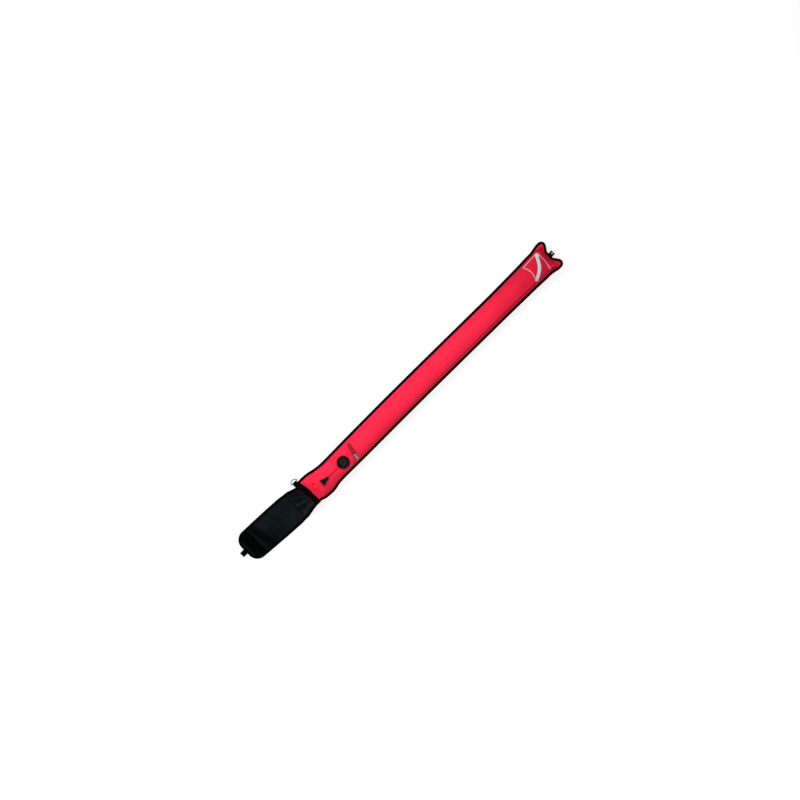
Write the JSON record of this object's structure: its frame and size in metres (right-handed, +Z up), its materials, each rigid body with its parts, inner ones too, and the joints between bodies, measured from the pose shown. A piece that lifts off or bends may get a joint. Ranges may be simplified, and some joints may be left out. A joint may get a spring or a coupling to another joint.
{
  "type": "surface marker buoy",
  "caption": "Inflated diver's surface marker tube with eared top, dump valve and pull cord, oral inflation tube, ring, and a stowing wrap at its neck.",
  "frame": {"origin": "middle of the flat strip that the inflated tube lies on, halfway between the neck seam and the top seam", "axes": "+X along the tube to its eared top end, +Y to the side with the ring, +Z up"},
  "size_m": [1.8033, 0.1634, 0.1137],
  "materials": {
    "red_fabric": "coated nylon, satin",
    "black_tape": "woven edge tape",
    "black_webbing": "woven webbing",
    "black_nylon": "coated nylon, satin",
    "hook_and_loop": "hook and loop pile",
    "black_plastic": "moulded, satin",
    "red_rubber": "silicone",
    "hose_rubber": "glossy rubber",
    "chrome": "plated brass",
    "steel": "polished stainless",
    "black_cord": "braided cord"
  },
  "bodies": {
    "tube": {"front_panel": "red_fabric", "back_panel": "red_fabric", "edge_binding": "black_tape", "neck_band": "black_webbing", "top_tab": "black_webbing", "top_eyelet": "steel", "ring_webbing": "black_webbing", "valve_base": "black_plastic", "valve_cap": "black_plastic", "valve_spring": "steel", "hose_collar": "red_rubber", "hose_nut": "black_plastic"},
    "poppet": {"valve_poppet": "black_plastic", "valve_diaphragm": "red_rubber"},
    "knob": {"pull_knob": "black_plastic", "pull_cord": "black_cord"},
    "hose": {"inflation_hose": "hose_rubber", "inflator_body": "chrome"},
    "pin": {"inflator_pin": "chrome", "inflator_spring": "steel"},
    "ring": {"d_ring": "steel"},
    "neck_flap": {"gathered_panel": "black_nylon", "panel_tape_left": "black_tape", "panel_tape_right": "black_tape"},
    "wrap": {"wrap_panel": "black_nylon", "wrap_binding": "black_tape", "hook_strip": "hook_and_loop", "loop_strip": "hook_and_loop", "pull_tab": "black_webbing"}
  },
  "joints": [
    {"name": "knob_pull", "type": "slide", "parent": "tube", "child": "knob", "axis": [-1, 0, 0], "range_m": [0, 0.003]},
    {"name": "poppet_lift", "type": "slide", "parent": "tube", "child": "poppet", "axis": [0, 0, 1], "range_m": [0, 0.003], "stiffness_N_per_m": 250, "deforming": ["valve_spring"]},
    {"name": "hose_lift", "type": "hinge", "parent": "tube", "child": "hose", "pos_m": [-0.4445, 0.0303, 0.09468], "axis": [-0.9781, 0.2079, 0], "range_deg": [0, 60]},
    {"name": "pin_push", "type": "slide", "parent": "hose", "child": "pin", "axis": [0.2011, 0.9461, 0.2538], "range_m": [0, 0.002], "stiffness_N_per_m": 400},
    {"name": "ring_swing", "type": "hinge", "parent": "tube", "child": "ring", "pos_m": [-0.7153, 0.07808, 0.047], "axis": [1, 0, 0], "range_deg": [-90, 90]},
    {"name": "neck_fold", "type": "hinge", "parent": "tube", "child": "neck_flap", "pos_m": [-0.72185, 0.002, 0.047], "axis": [0, 1, 0], "range_deg": [-45, 45]},
    {"name": "wrap_fold", "type": "hinge", "parent": "neck_flap", "child": "wrap", "pos_m": [-0.78235, 0.00551, 0.0033], "axis": [0, 1, 0], "range_deg": [0, 100]}
  ],
  "couplings": [
    {"joint": "poppet_lift", "follows": "knob_pull", "ratio": 1}
  ]
}
